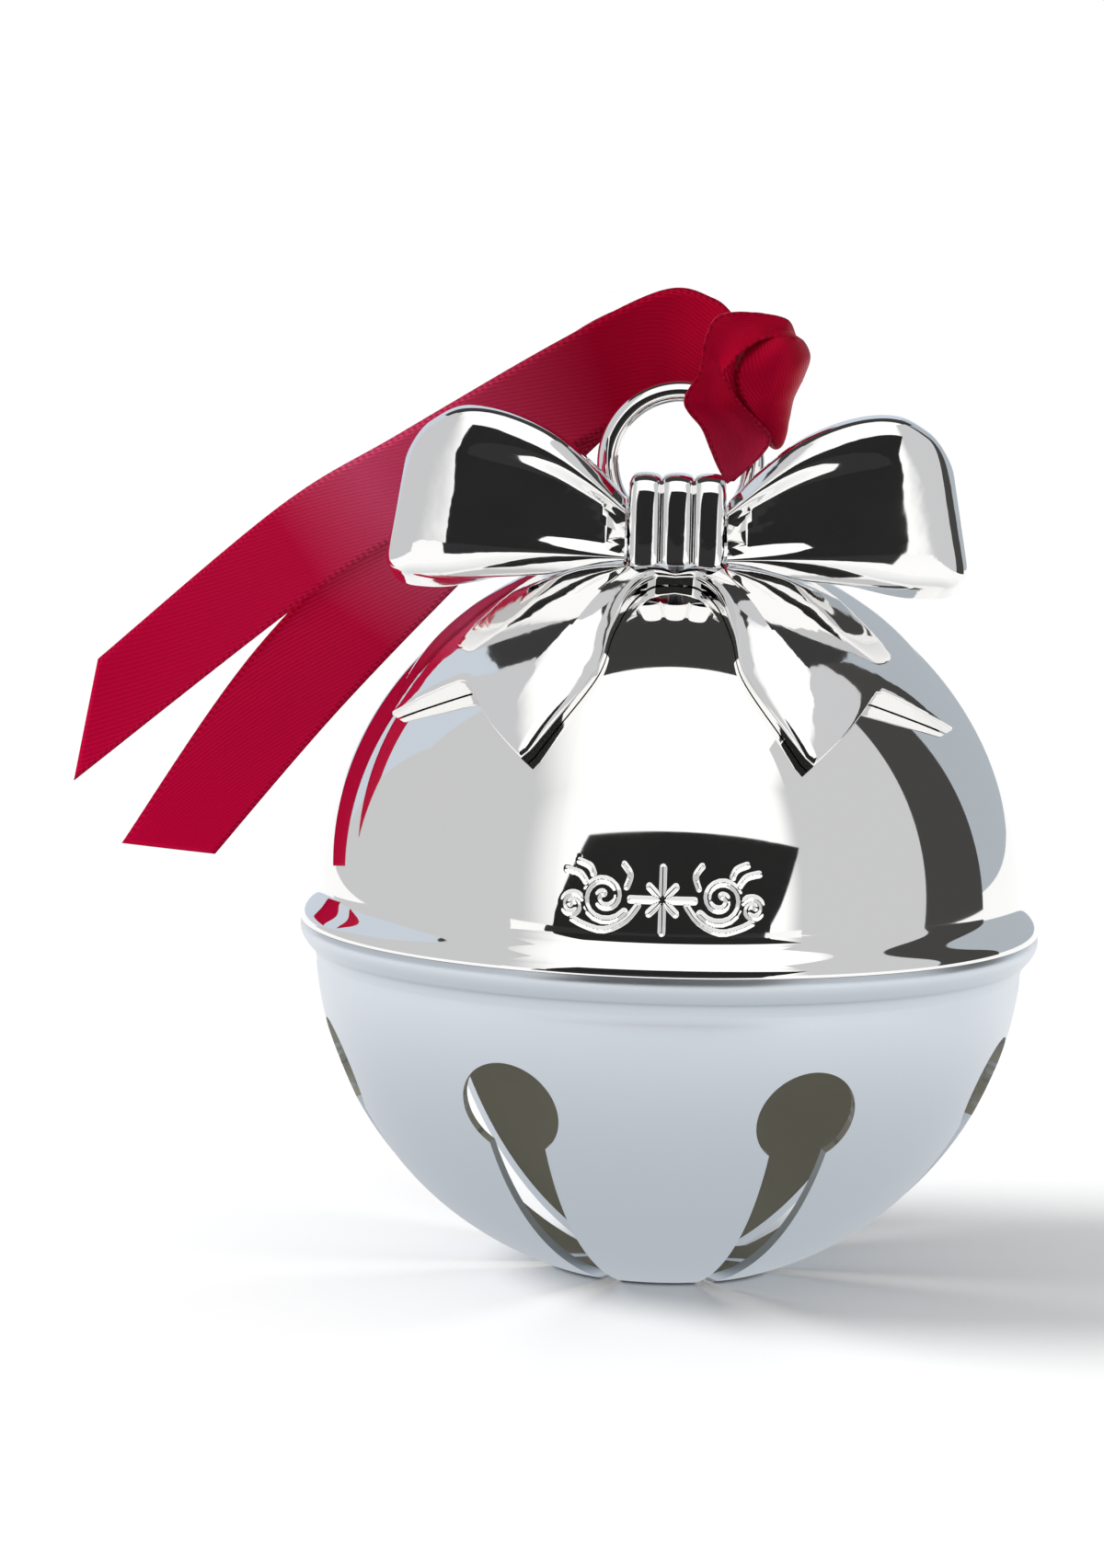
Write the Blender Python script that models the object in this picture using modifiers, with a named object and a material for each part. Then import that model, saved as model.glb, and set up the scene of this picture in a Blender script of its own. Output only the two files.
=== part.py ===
"""Christmas bell ornament: a two-part jingle bell with a cast bow, a hanging ring and a satin ribbon.

Lengths are written in millimetres and multiplied by MM, +Z is up, the front of the bell is towards -Y
and the origin is the middle of the flat foot. Angles are degrees: azimuths count from the front,
positive towards +X, and polar angles from the dome's top or, on the bowl, from its foot.
"""

from math import cos, pi, radians, sin, sqrt, tan

import bmesh
import bpy
from mathutils import Matrix, Vector

MM = 0.001

# The two shells
WALL = 0.8
SEAM_Z = 32.95
SEAM_GAP = 0.08
DOME_R, DOME_Z = 33.3, 35.2
BOWL_R, BOWL_Z = 33.65, 32.15
TURN_STEPS = 70
# The dome's flared rim and the bowl's rolled hem, as (radius, height above the seam)
FLARE_OUTSIDE = [(33.36, 4.2), (33.8, 2.6), (34.2, 1.85), (34.6, 1.2), (34.88, 0.55), (34.98, SEAM_GAP)]
FLARE_INSIDE = [(33.95, SEAM_GAP), (33.6, 1.2), (33.0, 2.5)]
HEM_OUTSIDE = [(35.0, 0.0), (35.05, -0.5), (34.98, -1.05), (34.7, -1.65), (34.2, -2.3), (33.75, -2.75)]
LIP_R, LIP_HEIGHT, LIP_WALL = 33.4, 1.1, 0.65

# Keyholes: a round hole, and a slot between two meridians that narrows towards the foot
KEYHOLES = 7
HOLE_POLAR, HOLE_R = 67.7, 4.85
SLOT_HALF_ANGLE, SLOT_END_R = 5.6, 5.6

# Loose ball, hanging ring, and the staple that the ring swings in
BALL_R = 6.35
RING_R, RING_WIRE_R = 6.85, 1.05
PIVOT_Z = 69.8
STAPLE_WIRE_R = 0.7
STAPLE_R = RING_WIRE_R + STAPLE_WIRE_R + 0.1
STAPLE_FOOT_Z, STAPLE_FOOT_LENGTH, STAPLE_BEND_R = 65.8, 2.6, 0.9
PLATE_R, PLATE_TOP, PLATE_THICKNESS = 3.6, 67.4, 0.7
HOLE_GAP = 0.12

# Bow: loops and knot in front of the ring, tails lying on the dome
BOW_Y = -10.0
KNOT_HALF_WIDTH, KNOT_HALF_DEPTH, KNOT_HALF_HEIGHT = 4.45, 3.05, 4.7
KNOT_Z = 71.3
RIBS, RIB_HEIGHT = 3, 0.45
KNOT_SEAT_R, LOOP_SEAT_R = 35.6, 35.8
LOOP_TOP = [(4.75, 74.0), (8.0, 77.2), (12.0, 80.1), (17.0, 81.9), (21.5, 82.1), (25.0, 80.4), (27.4, 79.0)]
LOOP_BOTTOM = [(4.75, 67.6), (10.0, 67.0), (17.5, 66.7), (27.4, 66.9)]
LOOP_HALF_DEPTH = [(4.75, 2.3), (9.0, 2.9), (16.0, 3.4), (22.0, 3.4), (27.4, 3.0)]
LOOP_BACK_DROP = [(4.75, 0.0), (15.0, 0.6), (22.0, 2.2), (27.4, 2.0)]
LOOP_END_LEAN, LOOP_END_ROUND = 2.3, 1.6
FLUTE_DEPTH, FLUTE_LENGTH = 0.5, 9.0

# A tail's edges and crease as (azimuth, polar angle), from the knot to the swallow-tail end
TAIL_THICKNESS, TAIL_GAP = 1.2, 0.35
TAIL_OUTER = [(73, 14), (76.5, 28), (74, 43), (64.4, 57.5)]
TAIL_CREASE = [(18, 18.5), (20, 29.5), (24.5, 43), (32.4, 57.6)]
TAIL_INNER = [(0.5, 21), (1.5, 25.5), (13.5, 28.3), (15.3, 36), (16, 45), (22, 56.5)]
# Across the tail: share from the first edge to the second, lift off the dome, end shift along the tail
TAIL_PANEL = [(0.0, 0.3, 0.0), (0.33, 0.9, -3.6), (0.65, 1.0, -7.2), (0.83, 1.1, -3.6), (1.0, 1.2, 0.0)]
TAIL_BAND = [(0.7, 0.4, 5.3), (1.0, 0.0, 0.0)]
TAIL_STATIONS = 12

# The screw that holds the bow, along the dome's normal; distances from the dome's centre
SCREW_POLAR = 16.6
SCREW_R, SCREW_START, SCREW_TIP = 0.75, 31.2, 38.0
HEAD_R, HEAD_BOTTOM, HEAD_TOP = 1.5, 30.5, 31.55
WASHER_R, WASHER_BOTTOM, WASHER_TOP = 1.9, 31.75, 32.3
BOSS_R, BOSS_BOTTOM, BOSS_TOP = 1.6, DOME_R + 0.1, 37.0

# Ribbon, as routes of its two edges from the knot outwards
RIBBON_THICKNESS = 0.4
RIBBON_KNOT, RIBBON_KNOT_RADII = (7.3, 0.0, 87.5), (4.4, 3.2, 3.9)
LOOP_STRAP_TOP, LOOP_STRAP_TIP = (6.5, 1.95, 84.0), (4.1, 0.0, 75.6)
LOOP_STRAP_HALF_WIDTH, LOOP_STRAP_TIP_HALF_WIDTH = 3.4, 0.9
# The strands bend in the ring's body up to a slanting line, and hang behind the bell beyond it
UPPER_BEND_TOP = [(4.5, 3.1, 89.6), (2.1, 4.3, 92.4), (-2.3, 5.2, 92.7), (-7.6, 5.6, 90.3), (-12.1, 5.8, 87.6)]
UPPER_BEND_BOTTOM = [(4.2, 3.1, 85.4), (1.5, 4.3, 83.6), (-2.6, 5.2, 83.3), (-5.2, 5.6, 81.3), (-7.5, 5.8, 79.3)]
LOWER_BEND_TOP = [(4.3, 4.1, 89.2), (1.6, 5.4, 91.6), (-3.8, 6.6, 91.8), (-8.6, 7.0, 89.6), (-12.2, 7.2, 87.3)]
LOWER_BEND_BOTTOM = [(4.0, 4.1, 85.0), (1.0, 5.4, 82.6), (-3.4, 6.6, 81.6), (-5.8, 7.0, 79.9), (-7.4, 7.2, 78.6)]
UPPER_TAIL_TOP = [(-13.2, 5.8, 86.9), (-27.1, 6.0, 78.5), (-38.5, 6.0, 71.2), (-55.7, 6.0, 56.1)]
UPPER_TAIL_BOTTOM = [(-8.6, 5.8, 78.4), (-21.8, 6.0, 71.4), (-33.3, 6.0, 64.3), (-57.9, 6.0, 44.2)]
LOWER_TAIL_TOP = [(-13.4, 7.2, 86.2), (-26.0, 7.6, 73.2), (-41.1, 8.0, 56.7), (-53.4, 8.0, 38.0)]
LOWER_TAIL_BOTTOM = [(-8.8, 7.2, 77.4), (-18.4, 7.6, 67.0), (-32.5, 8.0, 51.6), (-44.3, 8.0, 37.2)]


def clear_scene():
    for obj in list(bpy.data.objects):
        bpy.data.objects.remove(obj)


def new_collection(name):
    collection = bpy.data.collections.new(name)
    bpy.context.scene.collection.children.link(collection)
    return collection


def new_material(name, colour, roughness, metallic):
    material = bpy.data.materials.new(name)
    material.use_nodes = True
    shader = material.node_tree.nodes["Principled BSDF"]
    shader.inputs["Base Color"].default_value = (*colour, 1)
    shader.inputs["Roughness"].default_value = roughness
    shader.inputs["Metallic"].default_value = metallic
    return material


clear_scene()
PARTS = new_collection("christmas_bell_ornament")
CUTTERS = new_collection("cutters")
MIRROR_SILVER = new_material("mirror_silver", (0.93, 0.92, 0.9), 0.05, 1.0)
SATIN_SILVER = new_material("satin_silver", (0.78, 0.8, 0.82), 0.3, 1.0)
STEEL = new_material("steel", (0.55, 0.55, 0.56), 0.3, 1.0)
SATIN_RIBBON = new_material("satin_ribbon", (0.38, 0.0, 0.03), 0.45, 0.0)


def new_object(name, data, material):
    """An object of the ornament, or with no material a cutter."""
    obj = bpy.data.objects.new(name, data)
    if material:
        PARTS.objects.link(obj)
        data.materials.append(material)
    else:
        CUTTERS.objects.link(obj)
        obj.hide_render = True
        obj.display_type = "WIRE"
    return obj


def from_bmesh(name, bm, material):
    mesh = bpy.data.meshes.new(name)
    bm.to_mesh(mesh)
    bm.free()
    mesh.shade_smooth()
    mesh.set_sharp_from_angle(angle=radians(35))
    return new_object(name, mesh, material)


def boolean(obj, other, operation="DIFFERENCE"):
    modifier = obj.modifiers.new(other.name, "BOOLEAN")
    modifier.operation = operation
    modifier.object = other


def turned(name, profile, material):
    """A profile of (radius, height) turned about Z. It runs down its outer side and back up inside."""
    bm = bmesh.new()
    verts = [bm.verts.new((r * MM, 0, z * MM)) for r, z in profile]
    for a, b in zip(verts, verts[1:]):
        bm.edges.new((a, b))
    obj = from_bmesh(name, bm, material)
    screw = obj.modifiers.new("Screw", "SCREW")
    screw.steps = screw.render_steps = TURN_STEPS
    screw.use_merge_vertices = True
    screw.merge_threshold = 0.00001
    return obj


def cylinder(name, radius, start, end, material, sides=20):
    """A cylinder from one point to another."""
    start, end = Vector(start) * MM, Vector(end) * MM
    along = end - start
    matrix = Matrix.Translation((start + end) / 2) @ along.to_track_quat("Z", "Y").to_matrix().to_4x4()
    bm = bmesh.new()
    bmesh.ops.create_cone(bm, cap_ends=True, segments=sides, radius1=radius * MM, radius2=radius * MM,
                          depth=along.length)
    obj = from_bmesh(name, bm, material)
    obj.matrix_world = matrix
    return obj


def prism(name, outline, bottom, top):
    """A cutter that stands on an outline of (x, y) points."""
    bm = bmesh.new()
    face = bm.faces.new([bm.verts.new((x * MM, y * MM, bottom * MM)) for x, y in outline])
    upper = bmesh.ops.extrude_face_region(bm, geom=[face])["geom"]
    bmesh.ops.translate(bm, verts=[v for v in upper if isinstance(v, bmesh.types.BMVert)],
                        vec=(0, 0, (top - bottom) * MM))
    bmesh.ops.recalc_face_normals(bm, faces=bm.faces[:])
    return from_bmesh(name, bm, None)


def wire(name, points, radius, material):
    curve = bpy.data.curves.new(name, "CURVE")
    curve.dimensions = "3D"
    curve.bevel_depth = radius * MM
    curve.bevel_resolution = 2
    curve.use_fill_caps = True
    spline = curve.splines.new("POLY")
    spline.points.add(len(points) - 1)
    for place, point in zip(spline.points, points):
        place.co = (*(Vector(point) * MM), 1)
    return new_object(name, curve, material)


def loft(name, sections, material):
    """A closed skin through sections of the same number of points, with flat ends."""
    bm = bmesh.new()
    rings = [[bm.verts.new(Vector(p) * MM) for p in section] for section in sections]
    for ring, following in zip(rings, rings[1:]):
        for k in range(len(ring)):
            bm.faces.new((ring[k - 1], ring[k], following[k], following[k - 1]))
    bm.faces.new(rings[0])
    bm.faces.new(rings[-1])
    bmesh.ops.recalc_face_normals(bm, faces=bm.faces[:])
    return from_bmesh(name, bm, material)


def sheet(name, rows, thickness, material, offset):
    """An open surface through rows of points, made solid."""
    bm = bmesh.new()
    grid = [[bm.verts.new(Vector(p) * MM) for p in row] for row in rows]
    for row, following in zip(grid, grid[1:]):
        for k in range(len(row) - 1):
            bm.faces.new((row[k], row[k + 1], following[k + 1], following[k]))
    obj = from_bmesh(name, bm, material)
    solidify = obj.modifiers.new("Solidify", "SOLIDIFY")
    solidify.thickness = thickness * MM
    solidify.offset = offset
    return obj


def curve_point(points, share):
    """The point at a share from 0 to 1 of a smooth curve through some points."""
    at = share * (len(points) - 1)
    i = min(int(at), len(points) - 2)
    t = at - i
    p1, p2 = points[i], points[i + 1]
    p0 = points[i - 1] if i else p1
    p3 = points[i + 2] if i + 2 < len(points) else p2
    weights = (-t + 2 * t**2 - t**3, 2 - 5 * t**2 + 3 * t**3, t + 4 * t**2 - 3 * t**3, t**3 - t**2)
    return tuple(sum(w * p[j] for w, p in zip(weights, (p0, p1, p2, p3))) / 2 for j in range(len(p1)))


def table_value(table, x):
    """The value at x on the straight lines between a table's (x, value) pairs."""
    for (x0, v0), (x1, v1) in zip(table, table[1:]):
        if x <= x1:
            return v0 + (v1 - v0) * (x - x0) / (x1 - x0)
    return table[-1][1]


def arc(radius, centre_z, start, end, steps):
    """(radius, height) points of a circle about the axis, by angles above the horizon."""
    angles = [radians(start + (end - start) * k / steps) for k in range(steps + 1)]
    return [(max(0.0, radius * cos(a)), centre_z + radius * sin(a)) for a in angles]


def on_dome(azimuth, polar, radius):
    """The point of a sphere about the dome's centre."""
    a, p = radians(azimuth), radians(polar)
    return Vector((radius * sin(p) * sin(a), -radius * sin(p) * cos(a), DOME_Z + radius * cos(p)))


def kept_outside(point, radius):
    """The point, pushed straight out if it lies inside a sphere about the dome's centre."""
    centre = Vector((0, 0, DOME_Z))
    offset = Vector(point) - centre
    return centre + offset.normalized() * max(offset.length, radius)


def screw_cylinder(name, radius, start, end, material):
    """A cylinder along the bow's screw, between two distances from the dome's centre."""
    return cylinder(name, radius, on_dome(0, SCREW_POLAR, start), on_dome(0, SCREW_POLAR, end), material)


def upper_shell():
    profile = arc(DOME_R, DOME_Z, 90, 6, 13)
    profile += [(r, SEAM_Z + up) for r, up in FLARE_OUTSIDE + FLARE_INSIDE]
    profile += arc(DOME_R - WALL, DOME_Z, 5, 90, 12)
    shell = turned("upper_shell", profile, MIRROR_SILVER)
    for side, y in (("front", -STAPLE_R), ("back", STAPLE_R)):
        hole = cylinder(f"dome_{side}_hole", STAPLE_WIRE_R + HOLE_GAP, (0, y, 66), (0, y, 70), None)
        boolean(shell, hole)
    boolean(shell, screw_cylinder("dome_screw_hole", SCREW_R + HOLE_GAP, 31.5, 34.5, None))


def keyhole_cutters(shell):
    """A radial cylinder and an upright wedge with a round tip for each keyhole."""
    hole_z = BOWL_Z - BOWL_R * cos(radians(HOLE_POLAR))
    spread = tan(radians(SLOT_HALF_ANGLE))
    for index in range(KEYHOLES):
        turn = Matrix.Rotation(2 * pi * (index + 0.5) / KEYHOLES, 4, "Z")
        out = Vector((0, -sin(radians(HOLE_POLAR)), -cos(radians(HOLE_POLAR))))
        centre = Vector((0, 0, BOWL_Z))
        start, end = centre + out * 28, centre + out * 38
        boolean(shell, cylinder(f"keyhole_{index}", HOLE_R, turn @ start, turn @ end, None, sides=24))
        tip = SLOT_END_R * spread
        wedge = [(40 * spread, -40), (-40 * spread, -40)]
        for k in range(5):
            a = pi * k / 4
            wedge.append((-tip * cos(a), -SLOT_END_R + tip * (sin(a) - 1)))
        outline = [(turn @ Vector((x, y, 0)))[:2] for x, y in wedge]
        boolean(shell, prism(f"slot_{index}", outline, -1, hole_z))


def lower_shell():
    foot_r = sqrt(BOWL_R**2 - BOWL_Z**2)
    floor_r = sqrt((BOWL_R - WALL) ** 2 - (BOWL_Z - WALL) ** 2)
    profile = [(LIP_R - LIP_WALL, SEAM_Z + LIP_HEIGHT), (LIP_R, SEAM_Z + LIP_HEIGHT), (LIP_R, SEAM_Z)]
    profile += [(r, SEAM_Z + up) for r, up in HEM_OUTSIDE]
    profile += [p for p in arc(BOWL_R, BOWL_Z, -5, -90, 16) if p[1] > 0.2]
    profile += [(foot_r, 0.0), (0.0, 0.0), (0.0, WALL), (floor_r, WALL)]
    profile += [p for p in arc(BOWL_R - WALL, BOWL_Z, -90, -5, 16) if p[1] > WALL + 0.2]
    profile.append(profile[0])
    shell = turned("lower_shell", profile, SATIN_SILVER)
    keyhole_cutters(shell)


def jingle_ball():
    """The ball on the bowl's floor, under an empty at the middle of the circle it rolls in."""
    centre = bpy.data.objects.new("ball_path", None)
    centre.location = (0, 0, BOWL_Z * MM)
    PARTS.objects.link(centre)
    bm = bmesh.new()
    bmesh.ops.create_uvsphere(bm, u_segments=22, v_segments=14, radius=BALL_R * MM)
    ball = from_bmesh("jingle_ball", bm, STEEL)
    ball.parent = centre
    ball.location = (0, 0, (WALL + 0.05 + BALL_R - BOWL_Z) * MM)


def hanging_ring(pivot):
    bpy.ops.mesh.primitive_torus_add(major_segments=44, minor_segments=10, major_radius=RING_R * MM,
                                     minor_radius=RING_WIRE_R * MM, rotation=(pi / 2, 0, 0))
    ring = bpy.context.object
    ring.name = ring.data.name = "hanging_ring"
    ring.data.materials.append(MIRROR_SILVER)
    for collection in list(ring.users_collection):
        collection.objects.unlink(ring)
    PARTS.objects.link(ring)
    ring.parent = pivot
    ring.location = (0, 0, RING_R * MM)


def staple_leg(y, way):
    """One leg from the top down, bent over along X inside the dome."""
    path = [(0, y, PIVOT_Z)]
    for k in range(5):
        a = radians(90 * k / 4)
        across, down = STAPLE_BEND_R * (1 - cos(a)), STAPLE_BEND_R * (1 - sin(a))
        path.append((way * across, y, STAPLE_FOOT_Z + down))
    path.append((way * STAPLE_FOOT_LENGTH, y, STAPLE_FOOT_Z))
    return path


def ring_staple():
    arch = []
    for k in range(1, 10):
        a = pi * k / 10
        arch.append((0, -STAPLE_R * cos(a), PIVOT_Z + STAPLE_R * sin(a)))
    path = staple_leg(-STAPLE_R, 1)[::-1] + arch + staple_leg(STAPLE_R, -1)
    wire("ring_staple", path, STAPLE_WIRE_R, STEEL)


def staple_plate():
    bottom = PLATE_TOP - PLATE_THICKNESS
    plate = cylinder("staple_plate", PLATE_R, (0, 0, bottom), (0, 0, PLATE_TOP), STEEL, sides=32)
    for side, y in (("front", -STAPLE_R), ("back", STAPLE_R)):
        boolean(plate, cylinder(f"plate_{side}_hole", STAPLE_WIRE_R + HOLE_GAP, (0, y, 66), (0, y, 68), None))


def rounded_ring(half_y, half_z, power, count):
    """(y, z) offsets once round a rounded rectangle; a smaller power is squarer."""
    ring = []
    for k in range(count):
        a = 2 * pi * k / count
        y = half_y * abs(cos(a)) ** power * (1 if cos(a) > 0 else -1)
        z = half_z * abs(sin(a)) ** power * (1 if sin(a) > 0 else -1)
        ring.append((y, z))
    return ring


def bow_knot():
    """Three rounded ribs side by side, hollowed below to sit over the tails, with a screwed boss."""
    steps = 5
    sections = []
    for k in range(RIBS * steps + 1):
        share = k / (RIBS * steps)
        from_middle = 2 * (k % steps) / steps - 1
        swell = RIB_HEIGHT * sqrt(max(0.0, 1 - from_middle**2))
        swell -= 0.3 if share in (0, 1) else 0.0
        ring = rounded_ring(KNOT_HALF_DEPTH + swell, KNOT_HALF_HEIGHT + 0.8 * swell, 0.62, 24)
        x = KNOT_HALF_WIDTH * (2 * share - 1)
        sections.append([kept_outside((x, BOW_Y + y, KNOT_Z + z), KNOT_SEAT_R) for y, z in ring])
    knot = loft("bow_knot", sections, MIRROR_SILVER)
    boolean(knot, screw_cylinder("knot_boss", BOSS_R, BOSS_BOTTOM, BOSS_TOP, None), "UNION")
    boolean(knot, screw_cylinder("knot_screw_hole", SCREW_R + HOLE_GAP, 32.0, SCREW_TIP + 0.4, None))


def loop_section(x, side):
    """A loop's rounded cross-section at one distance from the middle of the bow."""
    top, bottom = table_value(LOOP_TOP, x), table_value(LOOP_BOTTOM, x)
    half_y = table_value(LOOP_HALF_DEPTH, x)
    start, end = LOOP_TOP[0][0], LOOP_TOP[-1][0]
    into_end = min(1.0, max(0.0, x - end + LOOP_END_ROUND) / LOOP_END_ROUND)
    inset = LOOP_END_ROUND * 0.7 * (1 - sqrt(1 - into_end**2))
    flute = FLUTE_DEPTH * max(0.0, 1 - (x - start) / FLUTE_LENGTH)
    section = []
    for y, z in rounded_ring(half_y - inset, (top - bottom) / 2 - inset, 0.5, 26):
        height = z / (top - bottom) + 0.5
        back = (y / half_y + 1) / 2
        y *= 1 - flute / half_y * cos(6 * pi * height)
        z -= table_value(LOOP_BACK_DROP, x) * back * (1 - height)
        lean = LOOP_END_LEAN * height * ((x - start) / (end - start)) ** 2
        point = ((x - lean) * side, BOW_Y + y, (top + bottom) / 2 + z)
        section.append(kept_outside(point, LOOP_SEAT_R))
    return section


def bow_loop(name, side):
    start, end = LOOP_TOP[0][0], LOOP_TOP[-1][0]
    stations = [start + (end - LOOP_END_ROUND - start) * k / 9 for k in range(10)]
    stations += [end - 0.9, end - 0.35, end]
    loft(name, [loop_section(x, side) for x in stations], MIRROR_SILVER)


def bow_tail(name, side):
    """A ribbon's end on the dome: a wide panel, a crease, and a narrow band, each with its own point."""
    rows = []
    for k in range(TAIL_STATIONS + 1):
        share = k / TAIL_STATIONS
        outer, crease, inner = (curve_point(edge, share) for edge in (TAIL_OUTER, TAIL_CREASE, TAIL_INNER))
        columns = [(outer, crease, *column) for column in TAIL_PANEL]
        columns += [(crease, inner, *column) for column in TAIL_BAND]
        row = []
        for first, second, across, lift, shift in columns:
            azimuth = first[0] + (second[0] - first[0]) * across
            polar = first[1] + (second[1] - first[1]) * across + shift * share**4
            radius = DOME_R + TAIL_GAP + lift * min(1.0, share * 1.8)
            row.append(on_dome(azimuth * side, polar, radius))
        rows.append(row)
    sheet(name, rows, TAIL_THICKNESS, MIRROR_SILVER, offset=side)


def bow_fasteners():
    screw = screw_cylinder("bow_screw", SCREW_R, SCREW_START, SCREW_TIP, STEEL)
    boolean(screw, screw_cylinder("screw_head", HEAD_R, HEAD_BOTTOM, HEAD_TOP, None), "UNION")
    washer = screw_cylinder("bow_washer", WASHER_R, WASHER_BOTTOM, WASHER_TOP, STEEL)
    boolean(washer, screw_cylinder("washer_hole", SCREW_R + HOLE_GAP, 31.0, 33.0, None))


def ribbon_knot(pivot):
    bm = bmesh.new()
    bmesh.ops.create_uvsphere(bm, u_segments=18, v_segments=12, radius=MM)
    bmesh.ops.scale(bm, vec=RIBBON_KNOT_RADII, verts=bm.verts[:])
    knot = from_bmesh("ribbon_knot", bm, SATIN_RIBBON)
    knot.parent = pivot
    knot.location = (Vector(RIBBON_KNOT) - Vector((0, 0, PIVOT_Z))) * MM


def ribbon_loop(pivot):
    """The doubled ribbon through the ring: down in front, gathered in the ring's hole, up behind."""
    top, tip = Vector(LOOP_STRAP_TOP), Vector(LOOP_STRAP_TIP)
    rows = []
    for k in range(17):
        a = pi * (k / 8 - 1) / 2
        down = cos(a) ** 0.6 if k not in (0, 16) else 0.0
        centre = top + (tip - top) * down
        centre.y = top.y * (1 if a > 0 else -1) * abs(sin(a)) ** 0.35 if k != 8 else 0.0
        gather = LOOP_STRAP_HALF_WIDTH + (LOOP_STRAP_TIP_HALF_WIDTH - LOOP_STRAP_HALF_WIDTH) * down
        rows.append([centre - Vector((gather, 0, PIVOT_Z)), centre + Vector((gather, 0, -PIVOT_Z))])
    strap = sheet("ribbon_loop", rows, RIBBON_THICKNESS, SATIN_RIBBON, offset=0)
    strap.parent = pivot


def ribbon_strand(name, top_edge, bottom_edge, pivot=None):
    """A stretch of ribbon between two edges; with a pivot it moves with the ring."""
    base = Vector((0, 0, PIVOT_Z if pivot else 0))
    rows = []
    for k in range(17):
        edges = (top_edge, bottom_edge)
        rows.append([Vector(curve_point(edge, k / 16)) - base for edge in edges])
    strand = sheet(name, rows, RIBBON_THICKNESS, SATIN_RIBBON, offset=0)
    strand.parent = pivot


def main():
    pivot = bpy.data.objects.new("ring_pivot", None)
    pivot.location = (0, 0, PIVOT_Z * MM)
    PARTS.objects.link(pivot)
    upper_shell()
    lower_shell()
    jingle_ball()
    hanging_ring(pivot)
    ring_staple()
    staple_plate()
    bow_knot()
    for side_name, side in (("left", -1), ("right", 1)):
        bow_loop(f"bow_loop_{side_name}", side)
        bow_tail(f"bow_tail_{side_name}", side)
    bow_fasteners()
    ribbon_knot(pivot)
    ribbon_loop(pivot)
    ribbon_strand("ribbon_bend_upper", UPPER_BEND_TOP, UPPER_BEND_BOTTOM, pivot)
    ribbon_strand("ribbon_bend_lower", LOWER_BEND_TOP, LOWER_BEND_BOTTOM, pivot)
    ribbon_strand("ribbon_tail_upper", UPPER_TAIL_TOP, UPPER_TAIL_BOTTOM)
    ribbon_strand("ribbon_tail_lower", LOWER_TAIL_TOP, LOWER_TAIL_BOTTOM)


main()
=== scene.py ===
"""Looks of the christmas bell ornament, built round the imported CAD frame.

Lengths are written in millimetres and multiplied by MM, +Z is up and the front of the bell is towards -Y.
Azimuths count from the front, positive towards +X, and polar angles from the dome's top.
"""

from math import cos, pi, radians, sin, sqrt, tan

import bmesh
import bpy
import numpy as np
from mathutils import Matrix, Vector


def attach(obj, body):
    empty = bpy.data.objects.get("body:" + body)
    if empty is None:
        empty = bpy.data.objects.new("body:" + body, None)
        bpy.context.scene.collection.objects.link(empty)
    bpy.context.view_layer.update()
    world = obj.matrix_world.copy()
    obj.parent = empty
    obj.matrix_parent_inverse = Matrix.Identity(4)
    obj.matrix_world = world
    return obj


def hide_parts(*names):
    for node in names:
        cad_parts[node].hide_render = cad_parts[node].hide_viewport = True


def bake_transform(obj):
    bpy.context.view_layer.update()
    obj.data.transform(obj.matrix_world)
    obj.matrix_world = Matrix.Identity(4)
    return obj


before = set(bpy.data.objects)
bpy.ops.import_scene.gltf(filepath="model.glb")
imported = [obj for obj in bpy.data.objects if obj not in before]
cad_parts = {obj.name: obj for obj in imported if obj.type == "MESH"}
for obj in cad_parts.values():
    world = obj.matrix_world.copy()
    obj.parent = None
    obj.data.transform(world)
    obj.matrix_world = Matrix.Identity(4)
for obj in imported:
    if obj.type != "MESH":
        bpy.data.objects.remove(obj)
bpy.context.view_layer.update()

MM = 0.001

# Camera: distance to the bell, its direction, its tilt, and where the seam's middle lies in the view
SEAM_Z = 32.95
CAMERA_DISTANCE, CAMERA_AZIMUTH, CAMERA_HEIGHT, CAMERA_ROLL = 520, 1.1, 8.36, 1.5
LENS, VIEW_RIGHT, VIEW_DOWN = 125.2, 11.14, 13.2

# Studio light: the world's share, and a soft sun from the left
WORLD_STRENGTH, WORLD_REFLECTED = 0.62, (0.61, 0.675, 0.755)
SUN_STRENGTH, SUN_SOFTNESS, SUN_FROM = 2.6, 32, (-1.0, -0.04, 0.74)
# A small lamp stands for the light caught inside the bell
INNER_POWER, INNER_LAMP_R, INNER_LAMP_Z = 0.012, 12, 42
FLOOR_HALF, FLOOR_GLOW_R = 3000, 120

# Studio cards: their colours, and where the walls stand in the view, as right, near and up
WHITE, LEFT_GREY, RIGHT_GREY = (1.12, 1.12, 1.12), (0.61, 0.615, 0.63), (0.62, 0.625, 0.64)
BLACK, DARK, SIDE_BLACK = (0.019, 0.019, 0.019), (0.045, 0.045, 0.045), (0.06, 0.059, 0.057)
OUTER_GREY, TABLE_END_GREY = (0.44, 0.485, 0.53), (0.032, 0.032, 0.033)
FLOOR_UNDER, FLOOR_BEYOND = (0.62, 0.64, 0.66), (1.0, 1.0, 1.0)
FRONT, FRONT_LEFT, FRONT_RIGHT = 720, -1046, 763
LEFT, RIGHT, OUTER, LOW, CEILING = -350, 400, 900, -180, 600
TABLE_CARD_Z, GLOW_CARD_Z = 0.5, 0.3

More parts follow.
